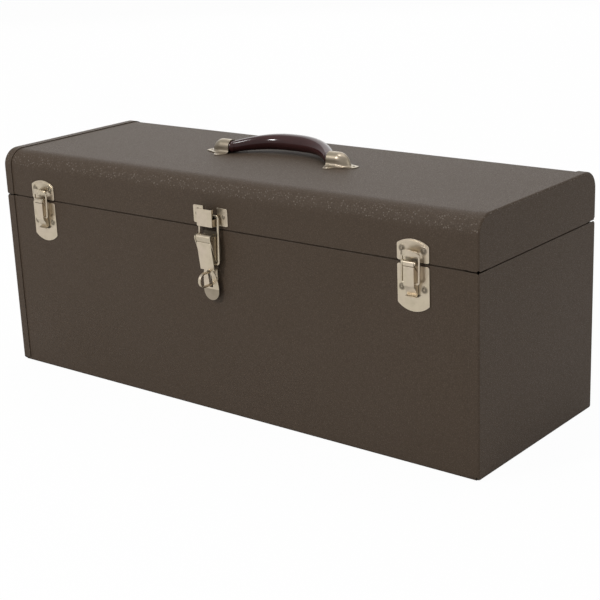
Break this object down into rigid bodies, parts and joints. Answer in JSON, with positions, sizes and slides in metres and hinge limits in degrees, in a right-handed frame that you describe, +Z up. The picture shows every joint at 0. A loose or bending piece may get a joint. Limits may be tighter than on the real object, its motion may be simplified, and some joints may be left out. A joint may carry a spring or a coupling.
{
  "type": "steel tool box",
  "caption": "Long sheet-steel tool box with a hinged round-edged lid, wire draw latches, a padlock hasp latch and a folding bow handle.",
  "frame": {"origin": "middle of the underside, on the surface that the box stands on", "axes": "+X to the right along the box, the latch front towards -Y, +Z up"},
  "size_m": [0.61, 0.2335, 0.2634],
  "materials": {
    "wrinkle_paint": "brown wrinkle enamel, fine crinkled and satin",
    "nickel_plate": "warm dull nickel plate with brush marks",
    "hinge_steel": "plain bright steel",
    "grip_plastic": "dark maroon brown, glossy and moulded"
  },
  "bodies": {
    "case": {"body_wrap": "wrinkle_paint", "body_end_left": "wrinkle_paint", "body_end_right": "wrinkle_paint", "rim_strip_front": "wrinkle_paint", "rim_strip_left": "wrinkle_paint", "rim_strip_right": "wrinkle_paint", "hinge_leaf_body": "hinge_steel", "hinge_pin": "hinge_steel", "left_latch_base": "nickel_plate", "left_base_rivets": "nickel_plate", "left_pivot_pin": "nickel_plate", "right_latch_base": "nickel_plate", "right_base_rivets": "nickel_plate", "right_pivot_pin": "nickel_plate", "hasp_base": "nickel_plate", "hasp_base_rivets": "nickel_plate", "hasp_pivot_pin": "nickel_plate", "padlock_staple": "nickel_plate"},
    "lid": {"lid_wrap": "wrinkle_paint", "lid_end_left": "wrinkle_paint", "lid_end_right": "wrinkle_paint", "hinge_leaf_lid": "hinge_steel", "handle_plate": "wrinkle_paint", "handle_cap_left": "nickel_plate", "handle_cap_right": "nickel_plate", "handle_cap_rivets": "nickel_plate", "left_keeper": "nickel_plate", "left_keeper_rivets": "nickel_plate", "right_keeper": "nickel_plate", "right_keeper_rivets": "nickel_plate", "hasp_keeper": "nickel_plate", "hasp_keeper_rivets": "nickel_plate"},
    "handle": {"handle_grip": "grip_plastic", "handle_core": "hinge_steel"},
    "left_lever": {"left_lever": "nickel_plate"},
    "left_bail": {"left_bail": "nickel_plate"},
    "right_lever": {"right_lever": "nickel_plate"},
    "right_bail": {"right_bail": "nickel_plate"},
    "hasp_lever": {"hasp_lever": "nickel_plate"},
    "hasp_bail": {"hasp_bail": "nickel_plate"}
  },
  "joints": [
    {"name": "lid_hinge", "type": "hinge", "parent": "case", "child": "lid", "pos_m": [0, 0.1041, 0.1943], "axis": [-1, 0, 0], "range_deg": [0, 100]},
    {"name": "handle_swing", "type": "hinge", "parent": "lid", "child": "handle", "pos_m": [0, 0.00375, 0.2499], "axis": [1, 0, 0], "range_deg": [0, 160]},
    {"name": "left_lever_swing", "type": "hinge", "parent": "case", "child": "left_lever", "pos_m": [-0.245, -0.1114, 0.19525], "axis": [-1, 0, 0], "range_deg": [0, 90]},
    {"name": "left_bail_swing", "type": "hinge", "parent": "left_lever", "child": "left_bail", "pos_m": [-0.245, -0.1107, 0.1765], "axis": [-1, 0, 0], "range_deg": [-39.6, 0]},
    {"name": "right_lever_swing", "type": "hinge", "parent": "case", "child": "right_lever", "pos_m": [0.2375, -0.1114, 0.19525], "axis": [-1, 0, 0], "range_deg": [0, 90]},
    {"name": "right_bail_swing", "type": "hinge", "parent": "right_lever", "child": "right_bail", "pos_m": [0.2375, -0.1107, 0.1765], "axis": [-1, 0, 0], "range_deg": [-39.6, 0]},
    {"name": "hasp_lever_swing", "type": "hinge", "parent": "case", "child": "hasp_lever", "pos_m": [-0.001, -0.1159, 0.1867], "axis": [-1, 0, 0], "range_deg": [0, 95]},
    {"name": "hasp_bail_swing", "type": "hinge", "parent": "hasp_lever", "child": "hasp_bail", "pos_m": [-0.001, -0.1107, 0.16], "axis": [-1, 0, 0], "range_deg": [-52.25, 0]}
  ],
  "couplings": [
    {"joint": "left_bail_swing", "follows": "left_lever_swing", "ratio": -0.44},
    {"joint": "right_bail_swing", "follows": "right_lever_swing", "ratio": -0.44},
    {"joint": "hasp_bail_swing", "follows": "hasp_lever_swing", "ratio": -0.55}
  ]
}
